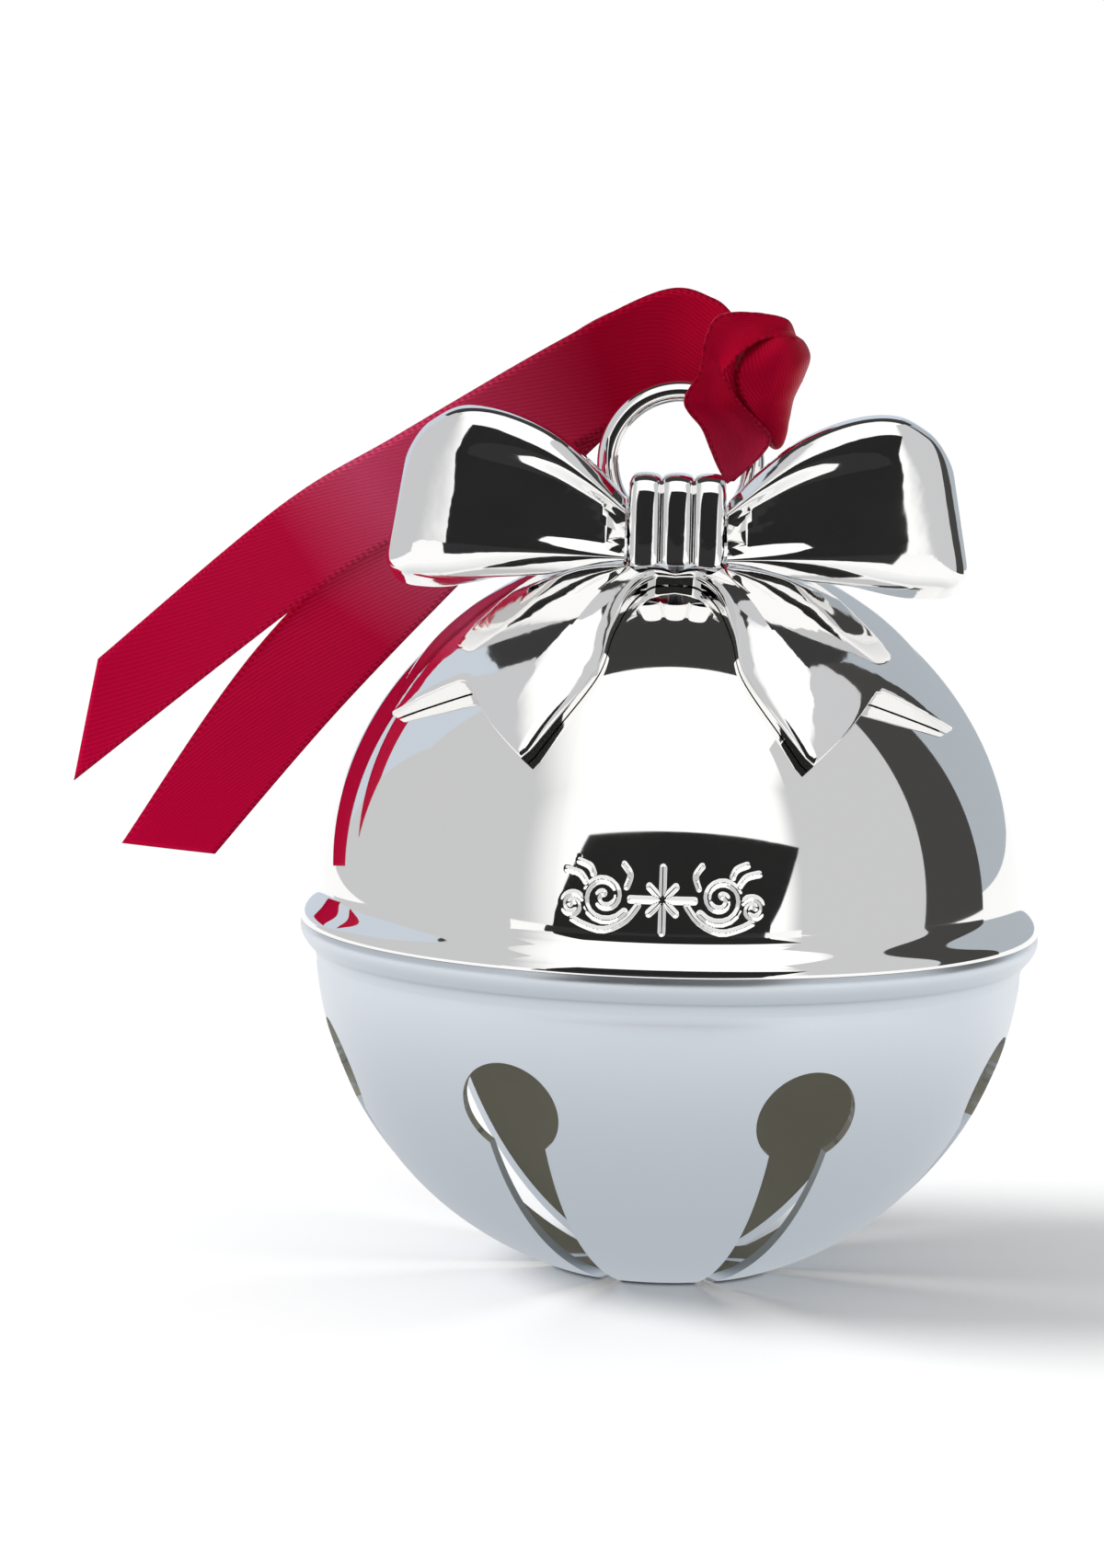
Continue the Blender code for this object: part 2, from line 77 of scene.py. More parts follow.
# The two shells
WALL, SEAM_GAP = 0.8, 0.08
DOME_R, DOME_Z = 33.3, 35.2
BOWL_R, BOWL_Z = 33.65, 32.15
FLARE_TOP, FLARE_OUT = 36.6, 1.75
FLARE_INSIDE = [(33.95, 33.03), (33.6, 34.15), (33.0, 35.45)]
HEM = [(34.96, 32.99), (35.05, 32.45), (34.98, 31.9), (34.7, 31.3), (34.2, 30.65), (33.75, 30.2),
       (33.45, 29.2)]
LIP_R, LIP_TOP, LIP_WALL = 33.4, 34.05, 0.65
# Keyholes: the round hole's angle from the bowl's bottom, the slot's half angle, and where its tip starts
KEYHOLES, HOLE_POLAR, HOLE_R = 7, 67.7, 4.85
SLOT_HALF_ANGLE, SLOT_END_R = 5.6, 5.6
CUTTER_LENGTH, CUTTER_REACH = 10, 40

# Engraved flourish on the dome's front: its middle's height, its half sizes, and the grooves
FLOURISH_Z, FLOURISH_HALF_WIDTH, FLOURISH_HALF_HEIGHT = 39.75, 9.6, 3.6
GROOVE_DEPTH, GROOVE_HALF_WIDTH = 0.2, 0.3

# Ball, ring and staple
BALL_R, BALL_Z = 6.35, 7.2
RING_R, RING_WIRE_R, PIVOT_Z = 6.85, 1.05, 69.8
STAPLE_WIRE_R, STAPLE_R, STAPLE_FOOT_Z, STAPLE_FOOT, STAPLE_BEND_R = 0.7, 1.85, 65.8, 2.6, 0.9

# Bow
BOW_Y = -10.0
KNOT_HALF_WIDTH, KNOT_HALF_DEPTH, KNOT_HALF_HEIGHT, KNOT_Z = 4.45, 2.85, 4.6, 71.3
RIBS, RIB_HEIGHT, KNOT_EDGE_DROP, KNOT_EDGE_ROUND, KNOT_SQUARENESS = 3, 0.75, 0.45, 0.5, 0.45
KNOT_SEAT_R, LOOP_SEAT_R = 35.6, 35.8
LOOP_TOP = [(4.75, 74.0), (8.0, 77.2), (12.0, 80.1), (17.0, 81.9), (21.5, 82.1), (25.0, 80.6), (27.4, 79.0)]
LOOP_BOTTOM = [(4.75, 67.6), (10.0, 67.0), (17.5, 66.7), (27.4, 66.9)]
LOOP_HALF_DEPTH = [(4.75, 2.3), (9.0, 2.9), (15.0, 3.4), (20.0, 3.4), (24.0, 3.1), (27.4, 2.5)]
LOOP_BACK_DROP = [(4.75, 0.0), (15.0, 0.6), (22.0, 2.2), (27.4, 2.0)]
LOOP_END_LEAN, LOOP_END_ROUND, LOOP_END_INSET, LOOP_SQUARENESS = 2.3, 2.6, 2.21, 0.34
SWEEP_START, SWEEP_EVEN, SWEEP_SLOPE = 16.8, 21.8, 0.22
FLUTES, FLUTE_DEPTH, FLUTE_LENGTH, FLUTE_FADE = 3, 0.5, 19.0, 1.4
TAIL_THICKNESS, TAIL_GAP, TAIL_EDGE_ROUND = 0.85, 0.12, 0.3
EDGE_STEPS = (0, 0.06, 0.25, 0.6)
TAIL_RIPPLE, TAIL_RIPPLES, TAIL_RIPPLE_START, BAND_RIPPLE = 0.3, 1.3, 0.1, 0.4
TAIL_LENGTH, PANEL_WIDTH, BAND_WIDTH, TAIL_RISE, TAIL_TAPER = 26.0, 12.0, 4.5, 2.2, 0.5
TAIL_OUTER = [(73, 14), (76.5, 28), (74, 43), (64.4, 57.5)]
TAIL_CREASE = [(18, 18.5), (20, 29.5), (24.5, 43), (32.4, 57.6)]
TAIL_INNER = [(-1.5, 21.5), (9, 22.4), (14.3, 27.5), (15.8, 36), (16, 45), (22, 56.5)]
# Across a tail's panel, from its outer edge to the crease: share, lift off the dome, shift of the end
PANEL_SHARE, PANEL_LIFT = (0, 0.33, 0.65, 0.83, 1), (0.0, 1.0, 1.7, 1.9, 2.0)
PANEL_SHIFT = (0, -3.6, -7.2, -3.6, 0)
BAND_SHARE, BAND_LIFT, BAND_SHIFT = (0, 0.7, 1), (2.0, 1.0, 0.1), (0, 5.3, 0)

# Ribbon: its cloth and its painted shade and sheen, then the routes of each strand's two edges and its crown
RIBBON_THICKNESS, RIBBON_WIDTH = 0.28, 9.5
SELVEDGE, STITCH, FLOAT_SLANT = 0.55, 0.6, -20
# Painted shade and sheen along the ribbon: darker red near the knot, a painted pink highlight partway along
PAINTED_SHEEN_LENGTH = 78
PAINTED_SHADE_AND_SHEEN = [(0.2, (0.38, 0.0, 0.02)), (0.44, (0.66, 0.05, 0.13)), (0.52, (0.68, 0.07, 0.16)),
         (0.64, (0.6, 0.004, 0.05))]
UPPER_TOP = [(6.2, 1.6, 87.8), (4.9, 3.0, 90.2), (2.6, 4.2, 92.2), (-2.3, 5.2, 92.8), (-12.1, 5.8, 87.7),
             (-27.1, 6.0, 78.5), (-38.5, 6.0, 71.2), (-55.7, 6.0, 56.1)]
UPPER_BOTTOM = [(5.8, 1.6, 84.4), (3.6, 3.0, 83.8), (1.2, 4.2, 83.4), (-2.6, 5.2, 83.2), (-8.0, 5.8, 78.9),
                (-21.8, 6.0, 71.4), (-33.3, 6.0, 64.3), (-57.9, 6.0, 44.2)]
LOWER_TOP = [(6.4, 2.0, 87.0), (4.6, 3.8, 89.2), (1.6, 5.3, 91.4), (-3.8, 6.6, 91.8), (-12.6, 7.2, 87.0),
             (-26.0, 7.6, 73.2), (-41.1, 8.0, 56.7), (-53.4, 8.0, 38.0)]
LOWER_BOTTOM = [(6.0, 2.0, 84.2), (3.4, 3.8, 83.4), (1.0, 5.3, 82.6), (-3.4, 6.6, 81.6), (-7.8, 7.2, 78.2),
                (-18.4, 7.6, 67.0), (-32.5, 8.0, 51.6), (-44.3, 8.0, 37.2)]
STRAND_CROWN = [0.0, 0.5, 0.4, 0.1, -0.25, 0.15, -0.2, 0.1]

# Ribbon knot: its core, then each folded strip's two edges and its crown, which bulges outwards
CORE_PLACE, CORE_HALF_SIZE = (6.9, 0.2, 86.4), (3.9, 2.5, 4.0)
COLLAR_OUTER = [(10.4, 1.8, 89.0), (9.5, -0.6, 90.6), (6.8, -1.6, 91.1), (4.4, -2.0, 91.1),
                (2.8, -2.6, 90.4), (1.9, -3.0, 88.0), (1.6, -2.6, 85.6), (0.2, -2.2, 82.6),
                (1.9, -2.1, 80.2), (2.7, -2.0, 78.4), (3.5, -1.8, 76.6), (4.4, -1.3, 75.0)]
COLLAR_INNER = [(10.8, 1.2, 87.6), (10.6, -1.6, 88.7), (7.9, -3.0, 88.9), (5.8, -3.7, 87.8),
                (4.6, -4.0, 86.4), (3.9, -4.0, 85.4), (4.4, -3.7, 84.2), (5.6, -3.3, 82.6),
                (7.0, -2.9, 81.2), (8.4, -2.4, 79.6), (7.6, -2.0, 77.8), (5.0, -1.4, 75.3)]
COLLAR_CROWN = [0.3, 0.6, 0.7, 0.8, 0.9, 0.8, 0.8, 0.9, 0.9, 0.8, 0.5, 0.1]
LOBE_INNER = [(7.4, -0.6, 89.2), (5.6, -2.2, 87.6), (4.9, -2.9, 85.8), (5.1, -3.0, 84.0), (5.8, -2.8, 82.6),
              (6.9, -2.4, 81.1), (8.2, -1.8, 79.7), (8.6, -0.9, 78.8), (8.0, 0.6, 78.9)]
LOBE_OUTER = [(10.3, -0.2, 88.9), (11.2, 0.2, 88.4), (11.8, 0.8, 87.0), (11.3, 0.9, 85.2), (10.4, 0.8, 83.2),
              (10.0, 0.6, 81.4), (9.6, 0.4, 80.0), (9.1, 0.4, 78.9), (8.4, 1.4, 79.0)]
LOBE_CROWN = [1.0, 2.0, 2.4, 2.3, 2.0, 1.5, 0.9, 0.5, 0.1]
BACK_UPPER = [(10.8, 1.4, 88.2), (9.0, 2.4, 90.4), (5.6, 3.1, 90.8), (2.4, 2.6, 88.2), (1.4, 1.8, 84.6),
              (2.6, 1.6, 81.2), (3.4, 1.6, 78.6), (4.0, 1.4, 76.6), (4.4, 0.9, 75.3)]
BACK_LOWER = [(11.2, 1.2, 84.6), (9.6, 2.8, 84.4), (8.2, 3.4, 84.0), (6.6, 3.2, 82.6), (6.8, 2.6, 81.4),
              (7.6, 2.2, 79.8), (7.4, 2.0, 78.2), (6.2, 1.6, 76.6), (4.9, 0.9, 75.4)]
BACK_CROWN = [-0.3, -0.8, -1.0, -0.9, -0.6, -0.4, -0.3, -0.2, 0.0]


# Shapes ------------------------------------------------------------------------------------------------


def curve_point(points, share):
    """The point at a share from 0 to 1 of a smooth curve through some points."""
    at = share * (len(points) - 1)
    i = min(int(at), len(points) - 2)
    t = at - i
    p1, p2 = points[i], points[i + 1]
    p0 = points[i - 1] if i else p1
    p3 = points[i + 2] if i + 2 < len(points) else p2
    weights = (-t + 2 * t**2 - t**3, 2 - 5 * t**2 + 3 * t**3, t + 4 * t**2 - 3 * t**3, t**3 - t**2)
    return tuple(sum(w * p[j] for w, p in zip(weights, (p0, p1, p2, p3))) / 2 for j in range(len(p1)))


def smooth_table(table, x, steps=80):
    """The value at x of a smooth curve through a table's (x, value) pairs."""
    dense = [curve_point(table, k / steps) for k in range(steps + 1)]
    return float(np.interp(x, [p[0] for p in dense], [p[1] for p in dense]))


def arc(radius, centre_z, start, end, steps):
    """(radius, height) points of a circle about the axis, by angles above the horizon."""
    angles = [radians(start + (end - start) * k / steps) for k in range(steps + 1)]
    return [(max(0.0, radius * cos(a)), centre_z + radius * sin(a)) for a in angles]


def on_dome(azimuth, polar, radius):
    """A point by two angles in degrees and its distance from the dome's centre."""
    a, p = radians(azimuth), radians(polar)
    return Vector((radius * sin(p) * sin(a), -radius * sin(p) * cos(a), DOME_Z + radius * cos(p)))


def kept_outside(point, radius):
    """The point, pushed straight out if it lies inside a sphere about the dome's centre."""
    centre = Vector((0, 0, DOME_Z))
    offset = Vector(point) - centre
    return centre + offset.normalized() * max(offset.length, radius)


def new_piece(name, data, material):
    piece = bpy.data.objects.new(name, data)
    bpy.context.scene.collection.objects.link(piece)
    if material:
        data.materials.append(material)
    return piece


def smooth(mesh, angle=35):
    """Smooth shading, with an edge left sharp where the surface turns by more than the angle."""
    mesh.shade_smooth()
    mesh.set_sharp_from_angle(angle=radians(angle))


def plain_mesh(name, points, faces):
    """A mesh of points in metres."""
    mesh = bpy.data.meshes.new(name)
    mesh.from_pydata(points, [], faces)
    return mesh


def mesh_of(name, bm):
    """A mesh with the contents of a bmesh, which is freed."""
    mesh = bpy.data.meshes.new(name)
    bm.to_mesh(mesh)
    bm.free()
    return mesh


def grid_faces(rows, columns, wrap=False):
    """The faces between the points of a grid listed row by row, closed along its rows where asked."""
    faces = []
    for r in range(rows - 1):
        for c in range(columns if wrap else columns - 1):
            here, after = r * columns + c, r * columns + (c + 1) % columns
            faces.append((here, after, after + columns, here + columns))
    return faces


def add_uv(mesh, name, uv_of):
    """A UV layer that takes each point's place from uv_of(its index)."""
    layer = mesh.uv_layers.new(name=name)
    for loop in mesh.loops:
        layer.data[loop.index].uv = uv_of(loop.vertex_index)


def grid_piece(name, rows, material, wrap_rows=False, wrap_columns=False, caps=False, angle=35):
    """A surface through rows of points, closed along its rows or columns where asked, facing outwards."""
    bm = bmesh.new()
    grid = [[bm.verts.new(Vector(p) * MM) for p in row] for row in rows]
    row_pairs = list(zip(grid, grid[1:])) + ([(grid[-1], grid[0])] if wrap_rows else [])
    for row, following in row_pairs:
        for k in range(0 if wrap_columns else 1, len(row)):
            bm.faces.new((row[k - 1], row[k], following[k], following[k - 1]))
    if caps:
        bm.faces.new(grid[0])
        bm.faces.new(grid[-1])
    bmesh.ops.remove_doubles(bm, verts=bm.verts[:], dist=1e-7)
    if wrap_columns:
        bmesh.ops.recalc_face_normals(bm, faces=bm.faces[:])
    mesh = mesh_of(name, bm)
    smooth(mesh, angle)
    return new_piece(name, mesh, material)


def lathe(name, profile, azimuths, material, inwards=None):
    """A profile of (radius, height) turned about Z, its outside cut in by inwards(azimuth, height).

    A profile that starts on the axis ends there too. Any other is closed back to its start.
    """
    rows = []
    for r, z in profile:
        outside = sqrt(r**2 + (z - DOME_Z) ** 2) > DOME_R - WALL / 2
        row = []
        for a in azimuths:
            depth = inwards(a, z) if inwards and outside else 0.0
            row.append(((r - depth) * sin(a), -(r - depth) * cos(a), z))
        rows.append(row)
    return grid_piece(name, rows, material, wrap_rows=profile[0][0] > 0.001, wrap_columns=True)


def modifiers_applied(piece):
    """The piece with its modifiers turned into its own mesh."""
    bpy.context.view_layer.update()
    evaluated = piece.evaluated_get(bpy.context.evaluated_depsgraph_get())
    piece.data = bpy.data.meshes.new_from_object(evaluated)
    piece.modifiers.clear()
    return piece


def wire(name, points, radius, material, sides=6):
    """Round wire along some points."""
    curve = bpy.data.curves.new(name, "CURVE")
    curve.dimensions = "3D"
    curve.bevel_depth = radius * MM
    curve.bevel_resolution = sides
    curve.use_fill_caps = True
    spline = curve.splines.new("POLY")
    spline.points.add(len(points) - 1)
    for place, point in zip(spline.points, points):
        place.co = (*(Vector(point) * MM), 1)
    return new_piece(name, curve, material)


# Materials ---------------------------------------------------------------------------------------------

SMUDGE_SCALE = 90


def new_material(name, colour, metallic, roughness):
    material = bpy.data.materials.new(name)
    material.use_nodes = True
    shader = material.node_tree.nodes["Principled BSDF"]
    shader.inputs["Base Color"].default_value = (*colour, 1)
    shader.inputs["Metallic"].default_value = metallic
    shader.inputs["Roughness"].default_value = roughness
    return material, material.node_tree.nodes, material.node_tree.links, shader


def object_noise(nodes, links, scale, detail, stretch=(1, 1, 1)):
    """Noise in the object's own space."""
    place = nodes.new("ShaderNodeTexCoord")
    mapping = nodes.new("ShaderNodeMapping")
    mapping.inputs["Scale"].default_value = stretch
    noise = nodes.new("ShaderNodeTexNoise")
    noise.inputs["Scale"].default_value = scale
    noise.inputs["Detail"].default_value = detail
    links.new(place.outputs["Object"], mapping.inputs["Vector"])
    links.new(mapping.outputs["Vector"], noise.inputs["Vector"])
    return noise


def vary(nodes, links, noise, socket, low, high):
    """Noise spread between two values of a shader's number."""
    spread = nodes.new("ShaderNodeMapRange")
    spread.inputs["From Min"].default_value = 0.35
    spread.inputs["From Max"].default_value = 0.7
    spread.inputs["To Min"].default_value = low
    spread.inputs["To Max"].default_value = high
    links.new(noise.outputs["Fac"], spread.inputs["Value"])
    links.new(spread.outputs["Result"], socket)


def maths(nodes, links, operation, value, *others):
    """The output of a Math node on a socket or number, with further sockets or numbers."""
    node = nodes.new("ShaderNodeMath")
    node.operation = operation
    for socket, given in zip(node.inputs, (value, *others)):
        if isinstance(given, (int, float)):
            socket.default_value = given
        else:
            links.new(given, socket)
    return node.outputs["Value"]


def metal(name, colour, roughness, spread, metallic=1.0,
          grain=0.0, grain_scale=2600, stretch=(1, 1, 1), depth=0.02):
    """Plated metal: roughness varies in faint smudges, and a grain gives a fine bump."""
    material, nodes, links, shader = new_material(name, colour, metallic, roughness)
    smudges = object_noise(nodes, links, SMUDGE_SCALE, 4)
    vary(nodes, links, smudges, shader.inputs["Roughness"], roughness, roughness + spread)
    if grain:
        fine = object_noise(nodes, links, grain_scale, 2, stretch)
        bump = nodes.new("ShaderNodeBump")
        bump.inputs["Strength"].default_value = grain
        bump.inputs["Distance"].default_value = depth * MM
        links.new(fine.outputs["Fac"], bump.inputs["Height"])
        links.new(bump.outputs["Normal"], shader.inputs["Normal"])
    return material


def satin(name):
    """Crimson satin: floats slanting along it, stitched selvedges, and painted shade and a painted pink
    highlight along it.
    """
    material, nodes, links, shader = new_material(name, (0.45, 0.001, 0.03), 0.35, 0.42)
    shader.inputs["Specular IOR Level"].default_value = 0.3
    shader.inputs["Specular Tint"].default_value = (1.0, 0.15, 0.3, 1)
    shader.inputs["Sheen Weight"].default_value = 0.1
    shader.inputs["Sheen Roughness"].default_value = 0.35
    shader.inputs["Sheen Tint"].default_value = (1.0, 0.1, 0.25, 1)
    cloth = nodes.new("ShaderNodeUVMap")
    cloth.uv_map = "cloth"
    place = nodes.new("ShaderNodeSeparateXYZ")
    links.new(cloth.outputs["UV"], place.inputs["Vector"])

    # Painted shade and sheen along the ribbon, in millimetres from its start: darker red by the knot, a
    # painted pink highlight partway down
    along = nodes.new("ShaderNodeMapRange")
    along.inputs["From Max"].default_value = PAINTED_SHEEN_LENGTH
    links.new(place.outputs["Y"], along.inputs["Value"])
    shade_and_sheen_ramp = nodes.new("ShaderNodeValToRGB")
    stops = shade_and_sheen_ramp.color_ramp.elements
    # The darker red at the ramp's start is painted shade where the ribbon leaves the knot
    stops[0].color, stops[1].color = (0.4, 0.0, 0.02, 1), (0.56, 0.0, 0.04, 1)
    for share, colour in PAINTED_SHADE_AND_SHEEN:
        stops.new(share).color = (*colour, 1)
    links.new(along.outputs["Result"], shade_and_sheen_ramp.inputs["Fac"])

    # Floats: fine lines, slanting a little across the ribbon
    turned = nodes.new("ShaderNodeMapping")
    turned.inputs["Rotation"].default_value = (0, 0, radians(FLOAT_SLANT))
    floats = nodes.new("ShaderNodeTexWave")
    floats.inputs["Scale"].default_value = 0.85
    floats.inputs["Distortion"].default_value = 1.2
    floats.inputs["Detail"].default_value = 2
    floats.inputs["Detail Scale"].default_value = 3
    links.new(cloth.outputs["UV"], turned.inputs["Vector"])
    links.new(turned.outputs["Vector"], floats.inputs["Vector"])

    # Selvedges: a row of small stitches along each edge
    off_middle = maths(nodes, links, "SUBTRACT", place.outputs["X"], RIBBON_WIDTH / 2)
    from_middle = maths(nodes, links, "ABSOLUTE", off_middle, 0)
    at_edge = maths(nodes, links, "GREATER_THAN", from_middle, RIBBON_WIDTH / 2 - SELVEDGE)
    turns = maths(nodes, links, "MULTIPLY", place.outputs["Y"], 2 * pi / STITCH)
    stitch = maths(nodes, links, "SINE", turns, 0)
    stitch = maths(nodes, links, "MULTIPLY", maths(nodes, links, "GREATER_THAN", stitch, 0.0), at_edge)
    shade = maths(nodes, links, "MULTIPLY_ADD", floats.outputs["Fac"], 0.3, 0.82)
    shade = maths(nodes, links, "SUBTRACT", shade, maths(nodes, links, "MULTIPLY", stitch, 0.3))
    # Base colour: the weave and stitches, times the painted shade and sheen
    weave_with_painted_sheen = nodes.new("ShaderNodeVectorMath")
    weave_with_painted_sheen.operation = "SCALE"
    links.new(shade_and_sheen_ramp.outputs["Color"], weave_with_painted_sheen.inputs[0])
    links.new(shade, weave_with_painted_sheen.inputs["Scale"])
    links.new(weave_with_painted_sheen.outputs["Vector"], shader.inputs["Base Color"])
    vary(nodes, links, floats, shader.inputs["Roughness"], 0.46, 0.3)
    bump = nodes.new("ShaderNodeBump")
    bump.inputs["Strength"].default_value = 0.5
    bump.inputs["Distance"].default_value = 0.03 * MM
    links.new(floats.outputs["Fac"], bump.inputs["Height"])
    links.new(bump.outputs["Normal"], shader.inputs["Normal"])
    return material


SILVER = metal("mirror_silver", (0.93, 0.925, 0.91), 0.02, 0.03)
CAST_SILVER = metal("cast_silver", (0.93, 0.925, 0.915), 0.03, 0.05, grain=0.6, grain_scale=330, depth=0.06)
# The bowl's roughness stays over 0.275, because the denoiser marks metal that varies across that value
# Its base is darker and bluer than the dome's silver: painted shade, standing in for the shade and the
# greyer floor that the bowl reflects
BOWL_SILVER_WITH_PAINTED_SHADE = metal("silver_with_painted_shade", (0.675, 0.72, 0.77), 0.285, 0.05)
INSIDE_SILVER = metal("inside_silver", (0.4, 0.39, 0.33), 0.4, 0.15, grain=0.3, metallic=0.5)
STEEL = metal("plain_steel", (0.56, 0.56, 0.57), 0.25, 0.15, grain=0.2, stretch=(1, 1, 6))
RIBBON = satin("crimson_satin")


# Camera and studio -------------------------------------------------------------------------------------


def view_axes():
    """Right, up and towards-the-camera directions of the view, rolled."""
    yaw, height, roll = radians(CAMERA_AZIMUTH), radians(CAMERA_HEIGHT), radians(CAMERA_ROLL)
    back = Vector((sin(yaw) * cos(height), -cos(yaw) * cos(height), sin(height)))
    right = Vector((cos(yaw), sin(yaw), 0))
    up = back.cross(right)
    return right * cos(roll) + up * sin(roll), up * cos(roll) - right * sin(roll), back


def add_camera():
    """A camera that sees the seam's middle at its place in the view."""
    right, up, back = view_axes()
    camera = bpy.data.objects.new("camera", bpy.data.cameras.new("camera"))
    camera.data.lens = LENS
    camera.data.sensor_width = 36
    camera.data.clip_start = 0.01
    bpy.context.scene.collection.objects.link(camera)
    seen_at = Vector((VIEW_RIGHT, -VIEW_DOWN, -CAMERA_DISTANCE)).normalized()
    aim = seen_at.rotation_difference(Vector((0, 0, -1))).to_matrix()
    basis = Matrix((right, up, back)).transposed() @ aim
    place = (back * CAMERA_DISTANCE + Vector((0, 0, SEAM_Z))) * MM
    camera.matrix_world = Matrix.Translation(place) @ basis.to_4x4()
    bpy.context.scene.camera = camera


def glow(name, colour, fade=None):
    """Light of one colour, or faded across a card by (share, colour) stops."""
    material = bpy.data.materials.new(name)
    material.use_nodes = True
    nodes, links = material.node_tree.nodes, material.node_tree.links
    nodes.remove(nodes["Principled BSDF"])
    emission = nodes.new("ShaderNodeEmission")
    emission.inputs["Color"].default_value = (*colour, 1)
    if fade:
        place, split = nodes.new("ShaderNodeUVMap"), nodes.new("ShaderNodeSeparateXYZ")
        place.uv_map = "card"
        ramp = nodes.new("ShaderNodeValToRGB")
        ramp.color_ramp.interpolation = "EASE"
        stops = ramp.color_ramp.elements
        for share, stop_colour in fade[1:-1]:
            stops.new(share).color = (*stop_colour, 1)
        stops[0].color, stops[-1].color = (*fade[0][1], 1), (*fade[-1][1], 1)
        links.new(place.outputs["UV"], split.inputs["Vector"])
        links.new(split.outputs["X"], ramp.inputs["Fac"])
        links.new(ramp.outputs["Color"], emission.inputs["Color"])
    links.new(emission.outputs["Emission"], nodes["Material Output"].inputs["Surface"])
    return material


def reflected_only(card):
    """Hides a card from all but glossy rays."""
    for ray in ("camera", "diffuse", "transmission", "volume_scatter", "shadow"):
        setattr(card, f"visible_{ray}", False)


def view_point(place):
    """A place given as (right, up, near) of the view from the dome's centre."""
    right, up, back = view_axes()
    return Vector((0, 0, DOME_Z)) + right * place[0] + up * place[1] + back * place[2]


def add_card(name, colour, corners):
    """A plain studio card that only reflections see."""
    mesh = plain_mesh(name, [view_point(c) * MM for c in corners], [tuple(range(len(corners)))])
    reflected_only(new_piece(name, mesh, glow(name, colour)))


def add_faded_card(name, corners, fade, steps=24):
    """A studio card of four corners, whose colour fades from its first and last to the other two."""
    a, b, c, d = [view_point(corner) * MM for corner in corners]
    points = [a.lerp(b, i / steps).lerp(d.lerp(c, i / steps), j / steps)
              for j in range(steps + 1) for i in range(steps + 1)]
    mesh = plain_mesh(name, points, grid_faces(steps + 1, steps + 1))
    add_uv(mesh, "card", lambda index: (index % (steps + 1) / steps, index // (steps + 1) / steps))
    reflected_only(new_piece(name, mesh, glow(name, fade[0][1], fade)))


def add_wall_cards():
    """The studio that the silver reflects: white front with a dark gap, grey walls, dark ceiling."""
    add_card("camera_gap", BLACK, [(-566, -155, 700), (434, -155, 700), (642, 251, 700), (-346, 275, 700)])
    fade = [(0, LEFT_GREY), (0.12, LEFT_GREY), (0.36, WHITE),
            (0.86, WHITE), (0.95, RIGHT_GREY), (1, RIGHT_GREY)]
    add_faded_card("front_wall", [(FRONT_LEFT, LOW, FRONT), (FRONT_RIGHT, LOW, FRONT),
                                  (FRONT_RIGHT, CEILING, FRONT), (FRONT_LEFT, CEILING, FRONT)], fade)
    add_faded_card("front_ceiling", [(FRONT_LEFT, CEILING, FRONT), (FRONT_RIGHT, CEILING, FRONT),
                                     (500, CEILING, 123), (-560, CEILING, 123)], fade)
    add_card("dark_ceiling", DARK, [(-560, CEILING + 1, 140), (500, CEILING + 1, 140),
                                    (420, CEILING + 1, -450), (-420, CEILING + 1, -450)])
    add_card("left_wall", LEFT_GREY, [(LEFT, LOW, 285), (LEFT, LOW, -525), (LEFT, -27, -525),
                                      (LEFT, 223, -80), (LEFT, 560, 60), (LEFT, 620, 285)])
    add_card("right_wall", RIGHT_GREY, [(RIGHT, LOW, 440), (RIGHT, LOW, 14),
                                        (RIGHT, 560, 14), (RIGHT, 620, 440)])
    behind = RIGHT + 1
    add_card("right_black", SIDE_BLACK, [(behind, -120, 30), (behind, -120, -254), (behind, 490, -120),
                                         (behind, 560, -20), (behind, 560, 30)])
    add_card("right_dim", OUTER_GREY, [(OUTER, -300, -6000), (OUTER, -300, 10), (OUTER, 2500, 10),
                                       (OUTER, 2500, -6000)])


def add_table_end():
    """The dark end of the table, in front of the bell."""
    corners = [(-148, -187), (98, -188), (440, -716), (-560, -716)]
    mesh = plain_mesh("table_end", [(x * MM, y * MM, TABLE_CARD_Z * MM) for x, y in corners], [(0, 1, 2, 3)])
    reflected_only(new_piece("table_end", mesh, glow("table_end", TABLE_END_GREY)))


def add_floor_glow(rings=12, spokes=48):
    """A soft patch of floor for the bowl to reflect, brighter outwards."""
    points = []
    for r in range(rings + 1):
        radius = FLOOR_GLOW_R * MM * r / rings
        points += [(radius * cos(2 * pi * k / spokes), radius * sin(2 * pi * k / spokes), GLOW_CARD_Z * MM)
                   for k in range(spokes)]
    mesh = plain_mesh("floor_glow", points, grid_faces(rings + 1, spokes, wrap=True))
    add_uv(mesh, "card", lambda index: (index // spokes / rings, 0))
    fade = [(0, FLOOR_UNDER), (1, FLOOR_BEYOND)]
    reflected_only(new_piece("floor_glow", mesh, glow("floor_glow", FLOOR_UNDER, fade)))


